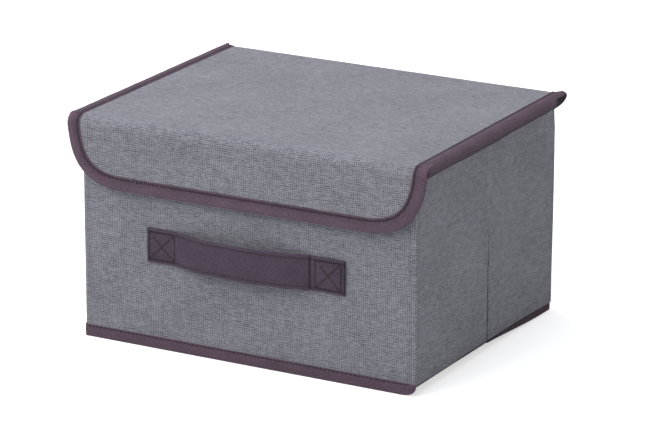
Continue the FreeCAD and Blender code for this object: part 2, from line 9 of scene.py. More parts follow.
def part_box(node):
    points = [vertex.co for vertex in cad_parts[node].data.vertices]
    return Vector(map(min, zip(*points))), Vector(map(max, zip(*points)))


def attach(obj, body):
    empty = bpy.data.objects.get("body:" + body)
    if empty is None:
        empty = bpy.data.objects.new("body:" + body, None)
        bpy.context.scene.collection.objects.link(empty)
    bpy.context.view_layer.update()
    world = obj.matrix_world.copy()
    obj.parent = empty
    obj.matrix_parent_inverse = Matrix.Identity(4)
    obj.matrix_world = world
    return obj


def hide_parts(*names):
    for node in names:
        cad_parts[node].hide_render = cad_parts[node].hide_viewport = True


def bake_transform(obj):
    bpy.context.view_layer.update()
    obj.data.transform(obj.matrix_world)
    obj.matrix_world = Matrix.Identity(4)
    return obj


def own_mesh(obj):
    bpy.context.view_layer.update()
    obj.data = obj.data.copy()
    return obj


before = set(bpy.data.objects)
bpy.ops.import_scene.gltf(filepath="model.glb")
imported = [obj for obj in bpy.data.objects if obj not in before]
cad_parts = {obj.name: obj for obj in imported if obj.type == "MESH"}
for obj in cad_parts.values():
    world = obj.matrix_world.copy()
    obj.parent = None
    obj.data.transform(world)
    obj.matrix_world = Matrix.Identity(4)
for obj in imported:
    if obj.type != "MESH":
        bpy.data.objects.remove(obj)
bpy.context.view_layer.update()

MM = 0.001

# Places of the walls, the lid and the flap, in millimetres in the frame.
SIDE, FRONT, BACK = 130.0, -98.9, 109.1
WALL = 3.0
WALL_FOOT, WALL_TOP, RIM_TOP, RIM_FOOT = 7.0, 157.2, 158.2, 148.7
OUTER_CORNER, INNER_CORNER = 2.6, 0.8
CREASE_Y = 8.55
REAR_HINGE_Y = 105.4
LID_TOP, LID_REAR, LID_EDGE, LID_HALF = 161.5, 108.2, 139.6, 136.5
HINGE_RADIUS, FOLD_RADIUS = 3.0, 7.0
HINGE_START_Z, HINGE_END_Y = LID_TOP - HINGE_RADIUS, BACK - HINGE_RADIUS
FOLD_START_Y, FLAP_FACE, FOLD_END_Z = -95.9, -102.9, LID_TOP - FOLD_RADIUS
FLAP_BACK, FLAP_FOOT, FLAP_SWELL = -99.7, 112.0, 1.7
SEAM_Z, FRONT_TAPE_TOP = 9.0, 9.5
BOARD_END, LID_UNDER = 106.1, 158.4
REAR_SEAM_Y, HEM_EDGE, HEM_OUT, HEM_TOP = 107.8, 126.65, 129.0, 6.4
CREASE_REACH = 0.28

# Where the patches of the walls' cloth meet.
PATCH_X, PATCH_Y = 100.0, 60.0

# Thicknesses of cloth, lining, tape and the strips over the boards' ends.
CLOTH, LINING, TAPE = 0.6, 0.4, 0.4
RIM_TAPE, EDGE_TAPE, BASE_TAPE, HEM_TAPE, STRIP, CREASE_STRIP = 0.35, 0.45, 0.3, 0.25, 0.25, 0.2

# Half widths of the strips at the lid's hinge and at the creases of flap and base.
HINGE_STRIP_HALF, FLAP_STRIP_HALF, BASE_STRIP_HALF = 125.8, 131.0, 118.3

# Painted shade: how light cloth and tape are painted where they show their inside, below the walls and at the
# lid tape's cut end.
INSIDE_SHADE, HEM_SHADE, CUT_SHADE = 0.75, 0.6, 0.15


# Mesh making

def linked(name, data):
    obj = bpy.data.objects.new(name, data)
    bpy.context.scene.collection.objects.link(obj)
    return obj


def mesh_object(name, points, faces, uv, crisp=40.0, shade=None):
    """An object of these points in millimetres, with the flat cloth's millimetres as its map.
    shade is the painted light and shade, with 1 for plain: a call that takes a point, or a list."""
    mesh = bpy.data.meshes.new(name)
    mesh.from_pydata([p * MM for p in points], [], faces)
    layer = mesh.uv_layers.new(name="cloth")
    for loop in mesh.loops:
        layer.data[loop.index].uv = uv[loop.vertex_index]
    mesh.polygons.foreach_set("use_smooth", [True] * len(mesh.polygons))
    mesh.set_sharp_from_angle(angle=math.radians(crisp))
    # The material multiplies the colour by these painted light and shade values.
    painted_shading = mesh.attributes.new("shade", "FLOAT", "POINT")
    if not isinstance(shade, list):
        shade = [shade(p) if shade else 1.0 for p in points]
    painted_shading.data.foreach_set("value", shade)
    return linked(name, mesh)


def face_outwards(obj):
    bm = bmesh.new()
    bm.from_mesh(obj.data)
    bmesh.ops.recalc_face_normals(bm, faces=bm.faces)
    bm.to_mesh(obj.data)
    bm.free()
    return obj


def lengths_along(points):
    """How far each point lies along the line through them all."""
    along = [0.0]
    for a, b in zip(points, points[1:]):
        along.append(along[-1] + (Vector(b) - Vector(a)).length)
    return along


def grid_faces(rows, columns, closed=False):
    """Quads over a grid of points kept row by row."""
    faces = []
    for i in range(rows - 1):
        for j in range(columns if closed else columns - 1):
            k = (j + 1) % columns
            faces.append((i * columns + j, i * columns + k, (i + 1) * columns + k, (i + 1) * columns + j))
    return faces


def tube_faces(rows, columns):
    """Faces of a closed body through rings of points, with its two ends filled."""
    ends = [tuple(reversed(range(columns))), tuple(range((rows - 1) * columns, rows * columns))]
    return grid_faces(rows, columns, closed=True) + ends


def cloth_from(name, grid, uv, thickness, facing, crisp=40.0, shade=None):
    """A sheet of this thickness whose shown face is the grid; the other face lies behind it. facing is
    the way that the middle of the shown face looks, and shade a call, or rows of values for the grid."""
    rows, columns = len(grid), len(grid[0])
    i, j = (rows - 1) // 2, (columns - 1) // 2
    here = grid[i][j]
    looks = (grid[i][j + 1] - here).cross(grid[i + 1][j] - here)
    if looks.dot(Vector(facing)) < 0:
        grid, uv = [row[::-1] for row in grid], [row[::-1] for row in uv]
        if isinstance(shade, list):
            shade = [row[::-1] for row in shade]
    points = [p for row in grid for p in row]
    coordinates = [c for row in uv for c in row]
    faces = grid_faces(rows, columns)
    bm = bmesh.new()
    made = [bm.verts.new(p) for p in points]
    for face in faces:
        bm.faces.new([made[i] for i in face])
    bm.normal_update()
    normals = [v.normal.copy() for v in made]
    bm.free()
    count = len(points)
    # Where rows of values are given, the sheet's other face is painted darker, as shade.
    if isinstance(shade, list):
        shade = [value for row in shade for value in row] + [INSIDE_SHADE] * count
    points += [p - n * thickness for p, n in zip(points, normals)]
    coordinates += coordinates
    faces += [tuple(i + count for i in reversed(face)) for face in faces]
    rim = list(range(columns))
    rim += [i * columns + columns - 1 for i in range(1, rows)]
    rim += [(rows - 1) * columns + j for j in range(columns - 2, -1, -1)]
    rim += [i * columns for i in range(rows - 2, 0, -1)]
    for a, b in zip(rim, rim[1:] + rim[:1]):
        faces.append((b, a, a + count, b + count))
    return mesh_object(name, points, faces, coordinates, crisp, shade)


def solid_from(name, rings, shade=None):
    """A closed body through rings of points."""
    points = [Vector(p) for ring in rings for p in ring]
    across, along = lengths_along(rings[0]), lengths_along([ring[0] for ring in rings])
    coordinates = [(a, b) for a in along for b in across]
    faces = tube_faces(len(rings), len(rings[0]))
    return face_outwards(mesh_object(name, points, faces, coordinates, shade=shade))


def steps(low, high, size):
    """Even places from low to high, about size apart."""
    count = max(1, round(abs(high - low) / size))
    return [low + (high - low) * i / count for i in range(count + 1)]


def ease(low, high, place):
    """0 before low, 1 after high, and smooth between them."""
    share = min(1.0, max(0.0, (place - low) / (high - low)))
    return share * share * (3 - 2 * share)


def mix(a, b, share):
    return a + (b - a) * share


def quarter_turn(first, count):
    """Angles of a quarter turn in this many steps, from the step first on."""
    return [math.pi / 2 * i / count for i in range(first, count + 1)]


def bell(distance, width):
    """1 at no distance, falling off to both sides over this width."""
    return math.exp(-((distance / width) ** 2))


def swell(point, height, size=45.0):
    """How far soft cloth stands off at a point: a slow unevenness, never below its face."""
    slow = noise.noise(point / size)
    quick = noise.noise(point / (size * 0.3) + Vector((7.1, 3.3, 9.2)))
    return height * (0.5 + 0.38 * slow + 0.12 * quick)


# Stations round the walls: the outer face's point and outward direction, and the inner face's.

def on_end(end, x):
    """On the front wall where end is -1, or on the back wall where it is 1."""
    face, out = FRONT if end < 0 else BACK, Vector((0, end, 0))
    return Vector((x, face, 0)), out, Vector((x, face - end * WALL, 0)), -out


def on_side(sign, y):
    out = Vector((sign, 0, 0))
    return Vector((sign * SIDE, y, 0)), out, Vector((sign * (SIDE - WALL), y, 0)), -out


def round_corner(sign, end, share):
    """A station on the corner between a side and the front or back, which is at 0, with the side at 1."""
    face = FRONT if end < 0 else BACK
    turn = share * math.pi / 2
    out = Vector((sign * math.sin(turn), end * math.cos(turn), 0))
    outer = Vector((sign * (SIDE - OUTER_CORNER), face - end * OUTER_CORNER, 0)) + out * OUTER_CORNER
    inset = WALL + INNER_CORNER
    inner = Vector((sign * (SIDE - inset), face - end * inset, 0)) + out * INNER_CORNER
    return outer, out, inner, -out


CORNER_SHARES = [i / 6 for i in range(7)]
CREASE_OFFSETS = [-6, -4, -3, -2.2, -1.5, -1, -0.6, -0.3, 0, 0.3, 0.6, 1, 1.5, 2.2, 3, 4, 6]
FRONT_RUN = [on_end(-1, x) for x in steps(-PATCH_X, PATCH_X, 8)]
BACK_RUN = [on_end(1, x) for x in steps(PATCH_X, -PATCH_X, 8)]


def front_corner(sign):
    run = [on_end(-1, sign * x) for x in [*steps(PATCH_X, 118, 6), 121, 123, 124.5, 126]]
    run += [round_corner(sign, -1, share) for share in CORNER_SHARES]
    run += [on_side(sign, y) for y in steps(FRONT + 3.4, -84, 1.0) + steps(-78, -PATCH_Y, 6)]
    return run if sign > 0 else run[::-1]


def side_crease(sign):
    places = steps(-PATCH_Y, CREASE_Y - 8, 8) + [CREASE_Y + d for d in CREASE_OFFSETS]
    run = [on_side(sign, y) for y in places + steps(CREASE_Y + 8, PATCH_Y, 8)]
    return run if sign > 0 else run[::-1]


def rear_side(sign, stop):
    return [on_side(sign, y) for y in steps(PATCH_Y, 98, 7) + steps(99.5, stop, 1.0)]


def rear_turn(sign):
    run = [round_corner(sign, 1, share) for share in reversed(CORNER_SHARES)]
    return run + [on_end(1, sign * x) for x in steps(124, PATCH_X, 8)]


def run_of(stations, depth=0):
    """Distance along the stations, for the cloth's own map."""
    return lengths_along([station[depth] for station in stations])


def origin_of(stations):
    """A start for the map that goes on from the patch before, near enough for a weave."""
    return sum(stations[0][0])


def middle_of(stations):
    return stations[(len(stations) - 1) // 2]


def crease_dip(point):
    """The pressed middle crease of a side wall."""
    if abs(point.x) < SIDE - 1:
        return 0.0
    return -mix(0.8, 0.2, ease(50, 115, point.z)) * bell(point.y - CREASE_Y, 0.65)


def corner_gap(point):
    """Distance from the upright edge at the front, or from the one at the back."""
    aside = abs(point.x) - SIDE
    return min(math.hypot(aside, point.y - FRONT), math.hypot(aside, point.y - BACK))


def corner_press(point):
    """The folded cloth is pressed to a small ridge along the upright edges."""
    return 0.55 * bell(corner_gap(point), 1.5)


def rear_bulge(point):
    """The side walls stand out a little towards the back, most of all at half their height."""
    if abs(point.x) < SIDE - 4:
        return 0.0
    height = mix(0.65, 1.0, ease(7, 90, point.z)) * (1 - 0.45 * ease(136, 148, point.z))
    return 1.5 * ease(60, 101, point.y) * height


def wall_shade(point):
    """Painted shade in the pressed crease and beside the upright edges, painted light on their ridges; darker
    at the foot.
    """
    dark = 0.0
    if abs(point.x) > SIDE - 1.5:
        past = point.y - CREASE_Y
        dark += mix(0.5, 0.05, ease(35, 105, point.z)) * bell(past, 1.0)
        dark += 0.08 * ease(70, 120, point.z) * bell(past + 5.0, 1.6)
        dark -= 0.3 * ease(60, 110, point.z) * bell(past, 0.9)
    gap = corner_gap(point)
    edge_light_and_shade = 0.16 * bell(gap, 1.6) - 0.12 * bell(gap - 4.0, 1.4)
    foot = 0.12 * (1 - ease(7, 14, point.z))
    return 1.0 - dark + edge_light_and_shade - foot


def outer_cloth(name, stations, foot, top):
    """A patch of the grey outer cloth. Its foot hangs a little lower towards the back."""
    grid, uv = [], []
    start, along = origin_of(stations), run_of(stations)
    for (outer, out, _, _), place in zip(stations, along):
        drop = mix(0.4, -0.45, ease(CREASE_Y, 100, outer.y)) if foot == WALL_FOOT else 0.0
        heights = [mix(foot + drop, top, share) for share in steps(0, 1, 7 / (top - foot))]
        row = [outer + Vector((0, 0, z)) for z in heights]
        lifts = [swell(p, 0.3) + crease_dip(p) + corner_press(p) + rear_bulge(p) for p in row]
        grid.append([p + out * lift for p, lift in zip(row, lifts)])
        uv.append([(start + place, z) for z in heights])
    return cloth_from(name, grid, uv, CLOTH, middle_of(stations)[1], shade=wall_shade)


def lining_cloth(name, stations, foot, top):
    """A patch of the lining on the walls' inner faces."""
    grid, uv = [], []
    start, along = origin_of(stations), run_of(stations, 2)
    heights = steps(top, foot, 10)
    for (_, _, inner, into), place in zip(stations, along):
        row = [inner + Vector((0, 0, z)) for z in heights]
        grid.append([p + into * swell(p, 0.2) for p in row])
        uv.append([(start + place, z) for z in heights])
    return cloth_from(name, grid, uv, LINING, middle_of(stations)[3])


def rim_tape(name, stations):
    """Binding tape folded over the top edge of a wall."""
    heights = (RIM_FOOT, RIM_FOOT + 0.6, RIM_FOOT + 3, RIM_FOOT + 6, RIM_TOP - 1.0, RIM_TOP - 0.3)
    start, along = origin_of(stations), run_of(stations)
    grid, uv = [], []
    for (outer, out, inner, into), place in zip(stations, along):
        row = [outer + out * TAPE + Vector((0, 0, z)) for z in heights]
        row += [outer.lerp(inner, share) + Vector((0, 0, RIM_TOP)) for share in (0.2, 0.5, 0.8)]
        row += [inner + into * TAPE + Vector((0, 0, z)) for z in reversed(heights)]
        grid.append(row)
        uv.append([(start + place, mark) for mark in lengths_along(row)])
    return cloth_from(name, grid, uv, RIM_TAPE, (0, 0, 1))


# Materials

def srgb(red, green, blue):
    """Linear colour of a colour given as it shows, from 0 to 255."""
    return tuple(((c / 255 + 0.055) / 1.055) ** 2.4 for c in (red, green, blue))


class Nodes:
    """Short calls that add nodes to a material or the world and join them."""

    def __init__(self, owner, last):
        owner.use_nodes = True
        self.tree = owner.node_tree
        self.last = self.tree.nodes[last]

    def put(self, node, inputs):
        """Gives a node's inputs, by name or number, a value or another node's output."""
        for key, source in inputs.items():
            if isinstance(source, bpy.types.NodeSocket):
                self.tree.links.new(source, node.inputs[key])
            else:
                node.inputs[key].default_value = source

    def add(self, kind, inputs, output=0, **settings):
        """The output of a new node of this kind."""
        node = self.tree.nodes.new("ShaderNode" + kind)
        for name, value in settings.items():
            setattr(node, name, value)
        self.put(node, inputs)
        return node.outputs[output]

    def map(self):
        """The flat cloth's own millimetres."""
        return self.add("UVMap", {}, uv_map="cloth")

    def place(self):
        return self.add("TexCoord", {}, "Object")

    def scaled(self, vector, x, y, z=1.0):
        return self.add("Mapping", {"Vector": vector, "Scale": (x, y, z)})

    def noise(self, vector, detail, rough, scale=1.0):
        inputs = {"Vector": vector, "Scale": scale, "Detail": detail, "Roughness": rough}
        return self.add("TexNoise", inputs, "Fac")

    def math(self, operation, a, b=0.0, clamp=False):
        return self.add("Math", {0: a, 1: b}, operation=operation, use_clamp=clamp)

    def split(self, vector):
        return self.add("SeparateXYZ", {0: vector}).node.outputs

    def joined(self, x, y):
        return self.add("CombineXYZ", {0: x, 1: y})

    def ranged(self, source, to_low, to_high, low=0.3, high=0.7):
        """Stretches a range, which is a noise's usual one unless given, to another."""
        inputs = {"Value": source, "From Min": low, "From Max": high, "To Min": to_low, "To Max": to_high}
        return self.add("MapRange", inputs)

    def wave(self, coordinate, pitch):
        """0 to 1 to 0 across each thread."""
        turn = self.math("MULTIPLY", coordinate, 2 * math.pi / pitch)
        return self.ranged(self.math("SINE", turn), 0, 1, -1, 1)


class Material(Nodes):
    """A new material, its colour between a dark and a light one."""

    def __init__(self, name, dark, light, roughness, sheen=0.0, specular=0.25):
        self.material = bpy.data.materials.new(name)
        super().__init__(self.material, "Principled BSDF")
        self.dark, self.light = (*dark, 1), (*light, 1)
        self.put(self.last, {"Roughness": roughness, "Sheen Weight": sheen, "Specular IOR Level": specular})
        self.put(self.last, {"Base Color": self.light})

    def surface(self, tone, height, strength, distance, roughness, painted_shading=False):
        """The material with this tone, bump and roughness; where asked, its colour is times the mesh's
        painted light and shade.
        """
        inputs = {"Factor": tone, "A": self.dark, "B": self.light}
        colour = self.add("Mix", inputs, "Result", data_type="RGBA")
        if painted_shading:
            shade = self.add("Attribute", {}, "Fac", attribute_name="shade")
            colour = self.add("VectorMath", {0: colour, 1: shade}, operation="MULTIPLY")
        bump = self.add("Bump", {"Height": height, "Strength": strength, "Distance": distance})
        self.put(self.last, {"Base Color": colour, "Normal": bump, "Roughness": roughness})
        return self.material


def linen(name, dark, light, pitch=1.4):
    """Plain-woven cloth of uneven threads: slubs, and dark gaps in broken lines both ways."""
    nodes = Material(name, dark, light, 0.92, sheen=0.12)
    flat = nodes.map()
    u, v, _ = nodes.split(flat)
    drift = nodes.noise(nodes.scaled(flat, 0.05, 0.05), 2.0, 0.5)
    u = nodes.math("ADD", u, nodes.ranged(drift, -0.5, 0.5))
    v = nodes.math("ADD", v, nodes.ranged(drift, 0.5, -0.5))

    def thread_at(across):
        """A number of its own for each thread."""
        thread = nodes.math("FLOOR", nodes.math("DIVIDE", across, pitch))
        return nodes.math("MULTIPLY", thread, 7.31)

    warp = nodes.noise(nodes.joined(thread_at(u), nodes.math("MULTIPLY", v, 0.24)), 3.0, 0.75)
    weft = nodes.noise(nodes.joined(nodes.math("MULTIPLY", u, 0.12), thread_at(v)), 3.0, 0.75)
    warp_gap = nodes.math("POWER", nodes.wave(u, pitch), 1.5)
    weft_gap = nodes.math("POWER", nodes.wave(v, pitch), 1.5)
    warp_dark = nodes.math("MULTIPLY", warp_gap, nodes.ranged(warp, 0.1, 0.68, 0.4, 0.6))
    weft_dark = nodes.math("MULTIPLY", weft_gap, nodes.ranged(weft, 0.12, 0.74, 0.42, 0.58))
    fine = nodes.noise(nodes.scaled(flat, 0.6, 0.6), 4.0, 0.8)
    slub = nodes.noise(nodes.scaled(flat, 0.25, 0.8), 2.0, 0.7)
    slow = nodes.noise(nodes.scaled(flat, 0.02, 0.02), 2.0, 0.5)
    mottle = nodes.noise(nodes.scaled(flat, 0.16, 0.22), 3.0, 0.75)
    tone = nodes.ranged(nodes.math("ADD", warp, weft), 0.62, 1.02, 0.7, 1.3)
    tone = nodes.math("ADD", tone, nodes.ranged(mottle, -0.14, 0.14))
    tone = nodes.math("SUBTRACT", tone, nodes.math("ADD", warp_dark, weft_dark))
    tone = nodes.math("SUBTRACT", tone, nodes.ranged(slub, 0, 0.2, 0.58, 0.7))
    tone = nodes.math("ADD", tone, nodes.ranged(fine, -0.17, 0.17))
    tone = nodes.math("ADD", tone, nodes.ranged(slow, -0.05, 0.07), clamp=True)
    height = nodes.math("SUBTRACT", nodes.math("MULTIPLY", fine, 0.8), nodes.math("ADD", warp_gap, weft_gap))
    # The cloth's colour is times the painted light and shade of its mesh.
    return nodes.surface(tone, height, 0.35, 0.0003, nodes.ranged(fine, 0.96, 0.86), painted_shading=True)


def ribbed(name, dark, light, rib=0.9):
    """Grosgrain tape with fine cross ribs; its colour is times the painted light and shade of its mesh along
    its folds.
    """
    nodes = Material(name, dark, light, 0.9, sheen=0.04, specular=0.2)
    flat = nodes.map()
    ribs = nodes.wave(nodes.split(flat)[0], rib)
    fuzz = nodes.noise(nodes.scaled(flat, 1.3, 0.5), 3.0, 0.6)
    slow = nodes.noise(nodes.scaled(flat, 0.05, 0.05), 2.0, 0.5)
    tone = nodes.math("ADD", nodes.ranged(fuzz, 0, 0.7), nodes.math("MULTIPLY", ribs, 0.25))
    tone = nodes.math("ADD", tone, nodes.ranged(slow, -0.12, 0.12), clamp=True)
    height = nodes.math("ADD", ribs, fuzz)
    return nodes.surface(tone, height, 0.35, 0.0002, nodes.ranged(fuzz, 0.9, 0.75), painted_shading=True)


def felted(name, dark, light, dimple=2.4):
    """Pressed non-woven cloth with small bonded dimples."""
    nodes = Material(name, dark, light, 0.88, sheen=0.08)
    flat = nodes.map()
    u, v, _ = nodes.split(flat)
    dots = nodes.math("MULTIPLY", nodes.wave(u, dimple), nodes.wave(v, dimple))
    fibres = nodes.noise(flat, 4.0, 0.65, scale=1.6)
    pressed = nodes.ranged(dots, 0, 0.4, 0.7, 1.0)
    tone = nodes.math("SUBTRACT", nodes.ranged(fibres, 0, 1), pressed, clamp=True)
    height = nodes.math("SUBTRACT", fibres, dots)
    return nodes.surface(tone, height, 0.4, 0.0003, nodes.ranged(fibres, 0.95, 0.82))


def card(name, dark, light):
    """Grey-brown cardboard with fibres and a slow stain."""
    nodes = Material(name, dark, light, 0.95)
    at = nodes.place()
    fibres = nodes.noise(nodes.scaled(at, 900, 300, 300), 4.0, 0.7)
    stain = nodes.noise(at, 3.0, 0.5, scale=18.0)
    tone = nodes.math("ADD", nodes.ranged(fibres, 0, 0.8), nodes.ranged(stain, 0, 0.2), clamp=True)
    return nodes.surface(tone, fibres, 0.3, 0.0002, nodes.ranged(fibres, 0.98, 0.88))


def twisted(name, dark, light):
    """Sewing thread with its fuzz."""
    nodes = Material(name, dark, light, 0.6, sheen=0.1)
    fuzz = nodes.noise(nodes.scaled(nodes.place(), 2500, 2500, 2500), 2.0, 0.5)
    return nodes.surface(fuzz, fuzz, 0.4, 0.0001, nodes.ranged(fuzz, 0.7, 0.5))


MATERIALS = {
    "outer_fabric": linen("grey_linen", srgb(78, 77, 86), srgb(160, 160, 169)),
    "lining": felted("grey_lining", srgb(92, 92, 98), srgb(126, 126, 132)),
    "base_cloth": felted("dark_base_cloth", srgb(52, 50, 54), srgb(80, 78, 82)),
    "binding_tape": ribbed("plum_tape", srgb(69, 55, 67), srgb(111, 92, 107)),
    "strap": ribbed("plum_strap", srgb(58, 48, 60), srgb(92, 79, 95), rib=1.1),
    "thread": twisted("plum_thread", srgb(30, 22, 30), srgb(56, 44, 56)),
    "cardboard": card("grey_card", srgb(120, 106, 90), srgb(158, 144, 126)),
}


def dress(obj, slot, *nodes):
    """Gives a piece the material of this slot, and hides the CAD nodes it stands for."""
    obj.data.materials.append(MATERIALS[slot])
    if nodes:
        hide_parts(*nodes)
    return obj


# Walls

SIDES = {"right": 1, "left": -1}


def build_walls():
    """Outer cloth, lining and rim tape of the four walls, patch by patch round the box."""
    kinds = (
        ("outer_cloth", "outer_fabric", "outer_fabric", outer_cloth, (WALL_FOOT, WALL_TOP)),
        ("lining_cloth", "lining", "lining", lining_cloth, (WALL_FOOT + 0.2, WALL_TOP)),
        ("rim_tape", "rim_binding", "binding_tape", rim_tape, ()),
    )
    for part, node, slot, make, heights in kinds:
        front_heights = (SEAM_Z, heights[1]) if heights else ()
        front = make(f"front_{part}", FRONT_RUN, *front_heights)
        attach(dress(front, slot, f"front_{node}"), "front_wall")

        def patch(name, stations, *nodes):
            return dress(make(f"{name}_{part}", stations, *heights), slot, *nodes)

        for side, sign in SIDES.items():
            near, rear = f"{side}_front_wall", f"{side}_rear_wall"
            corner = patch(f"{side}_front_corner", front_corner(sign))
            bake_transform(corner)
            middle = patch(f"{side}_side", side_crease(sign), f"{side}_front_{node}")
            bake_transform(middle)
            turn = rear_turn(sign)
            if part == "rim_tape":
                turn = turn[:len(CORNER_SHARES)]
            if sign > 0:
                run = rear_side(sign, REAR_HINGE_Y + 1) + turn
                corner = patch("right_rear_corner", run, f"{side}_rear_{node}")
                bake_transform(corner)
            else:
                piece = patch("left_rear_side", rear_side(sign, REAR_HINGE_Y)[::-1], f"{side}_rear_{node}")
                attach(piece, rear)
                run = [on_side(sign, REAR_HINGE_Y), on_side(sign, REAR_HINGE_Y + 0.8), *turn][::-1]
                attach(patch("left_rear_corner", run), "back_wall")
        if part != "rim_tape":
            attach(patch("back", BACK_RUN, f"back_{node}"), "back_wall")


build_walls()


# Lid and flap cloth

FLAP_CURVE = ((LID_EDGE, FOLD_END_Z), (137.2, 131.0), (128.0, 111.6), (92.0, FLAP_FOOT))


def flap_outline(share):
    """One side of the flap's outer edge, from the crease at 0 to the straight foot at 1: x, z and normal."""
    left = 1 - share
    weights = (left ** 3, 3 * left * left * share, 3 * left * share * share, share ** 3)
    x, z = (sum(w * c[i] for w, c in zip(weights, FLAP_CURVE)) for i in (0, 1))
    slopes = (3 * left * left, 6 * left * share, 3 * share * share)
    dx, dz = (sum(s * (b[i] - a[i]) for s, a, b in zip(slopes, FLAP_CURVE, FLAP_CURVE[1:])) for i in (0, 1))
    return x, z, Vector((-dz, 0, dx)).normalized()


def flap_lean(z):
    """The flap's shown face swells towards its foot."""
    return FLAP_SWELL * ease(FOLD_END_Z + 4, FLAP_FOOT + 4, z)


def flap_half_width(z):
    low, high = 0.0, 1.0
    for _ in range(30):
        middle = (low + high) / 2
        low, high = (middle, high) if flap_outline(middle)[1] > z else (low, middle)
    return flap_outline(low)[0]


def rear_profile():
    """From the top of the back wall over the hinge to the lid's middle: place and normal."""
    places = [(BACK, z, 1.0, 0.0) for z in (WALL_TOP, WALL_TOP + 0.5)]
    for turn in quarter_turn(1, 8):
        out, up = math.cos(turn), math.sin(turn)
        places.append((HINGE_END_Y + HINGE_RADIUS * out, HINGE_START_Z + HINGE_RADIUS * up, out, up))
    return places + [(y, LID_TOP, 0.0, 1.0) for y in steps(104.5, 0, 7)]


def front_profile():
    """From the middle of the lid over the crease and down the flap."""
    places = [(y, LID_TOP, 0.0, 1.0) for y in steps(0, FOLD_START_Y + 2, 7)]
    for turn in quarter_turn(0, 12):
        out, up = math.sin(turn), math.cos(turn)
        places.append((FOLD_START_Y - FOLD_RADIUS * out, FOLD_END_Z + FOLD_RADIUS * up, -out, up))
    return places + [(FLAP_FACE, z, -1.0, 0.0) for z in steps(FOLD_END_Z - 2, FLAP_FOOT + 1.0, 2.5)]


def lid_cloth(name, profile, widths, run_start):
    """A wide sheet over this profile; widths gives half its width at each place."""
    grid, uv = [], []
    shares = [math.sin(math.pi / 2 * s) for s in steps(-1.0, 1.0, 1 / 18)]
    run, before = run_start, profile[0]
    for (y, z, ny, nz), width in zip(profile, widths):
        run += math.hypot(y - before[0], z - before[1])
        before = (y, z)
        row = []
        for x in [width * share for share in shares]:
            point = Vector((x, y, z))
            edge = min(1.0, (width - abs(x)) / 12)
            lift = swell(point, 0.45, 60) * edge + (flap_lean(z) if ny < -0.99 else 0.0)
            row.append(point + Vector((0, ny, nz)) * lift)
        grid.append(row)
        uv.append([(width * share, run) for share in shares])
    return cloth_from(name, grid, uv, CLOTH, (0, *middle_of(profile)[2:]))


def bend_at_crease(piece):
    """Bakes the placement of a piece at the crease between the lid and its flap into its mesh."""
    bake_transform(piece)


def build_lid_cloth():
    rear = rear_profile()
    widths = [mix(SIDE - 0.2, LID_HALF, ease(0.0, 0.6, nz)) for _, _, _, nz in rear]
    cloth = lid_cloth("lid_rear_outer_cloth", rear, widths, 0.0)
    dress(cloth, "outer_fabric", "lid_outer_fabric")
    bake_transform(cloth)
    front = front_profile()
    widths = [LID_HALF if z > FOLD_END_Z - 0.5 else flap_half_width(z) - 2.0 for _, z, _, _ in front]
    cloth = lid_cloth("lid_front_outer_cloth", front, widths, 115.0)
    dress(cloth, "outer_fabric", "flap_outer_fabric")
    bend_at_crease(cloth)


build_lid_cloth()


# Edge tape round the lid and the flap

# The tape's sections beside the lid and round the flap, outward and up from the edge, and their shades:
# a painted highlight on the roll, painted shade below it and in the stitched groove.
LIP = ((-10.6, 0.25), (-10.1, 0.6), (-9.3, 0.5), (-8.6, 0.2), (-7.6, 0.75), (-6.0, 1.0), (-4.2, 0.95),
       (-2.5, 0.6), (-1.0, -0.15), (0.0, -1.3), (0.4, -2.7), (0.35, -4.3), (-0.1, -6.0), (-0.9, -7.8),
       (-2.0, -9.5), (-3.6, -11.0), (-5.4, -11.6), (-7.2, -10.6), (-8.0, -6.5))
LIP_SHADE = (0.85, 1.0, 0.75, 0.42, 0.72, 0.98, 0.9, 0.86, 0.92, 1.06, 1.04, 0.86, 0.64, 0.48, 0.38, 0.36,
             0.7, 0.8, 0.8)
FOLD = ((-10.6, 0.25), (-10.1, 0.65), (-9.3, 0.55), (-8.6, 0.2), (-7.6, 0.8), (-4.6, 1.25), (-1.6, 0.9),
        (-0.3, 0.1), (0.0, -1.0), (-0.3, -2.0), (-1.2, -2.8), (-3.0, -3.2), (-5.5, -3.35), (-7.5, -3.35),
        (-9.2, -3.3))
FOLD_SHADE = (0.85, 1.0, 0.75, 0.42, 0.8, 1.05, 1.12, 1.05, 0.95, 0.9, 0.9, 0.9, 0.9, 0.85, 0.8)
GROOVE = -8.6

# The lip's slanting end: where it starts, its reach, where the painted shade of its inside starts and its
# share of the hang.
SLANT_START, SLANT_REACH, CUT_START, REAR_HANG = 97.0, 2.8, 92.5, 0.81


def lip_stations(sign):
    """Along the hanging tape on one side of the lid, from the back to just over the crease."""
    side, up = Vector((sign, 0, 0)), Vector((0, 0, 1))
    places = [LID_REAR, 107.2, 106, 104.5, 103, 101.6, 100.2, 98.8, 97.4, 96, 94.6, 93.4, 92.2, 90.5]
    places += steps(88, -90, 5) + [-92, -94, -95.5, -97, -98.2, -99.2]
    points = [Vector((sign * LID_EDGE, y, LID_TOP - 0.1 * max(0.0, FOLD_START_Y - y))) for y in places]
    return [(point, side, up, 0.0) for point in points]


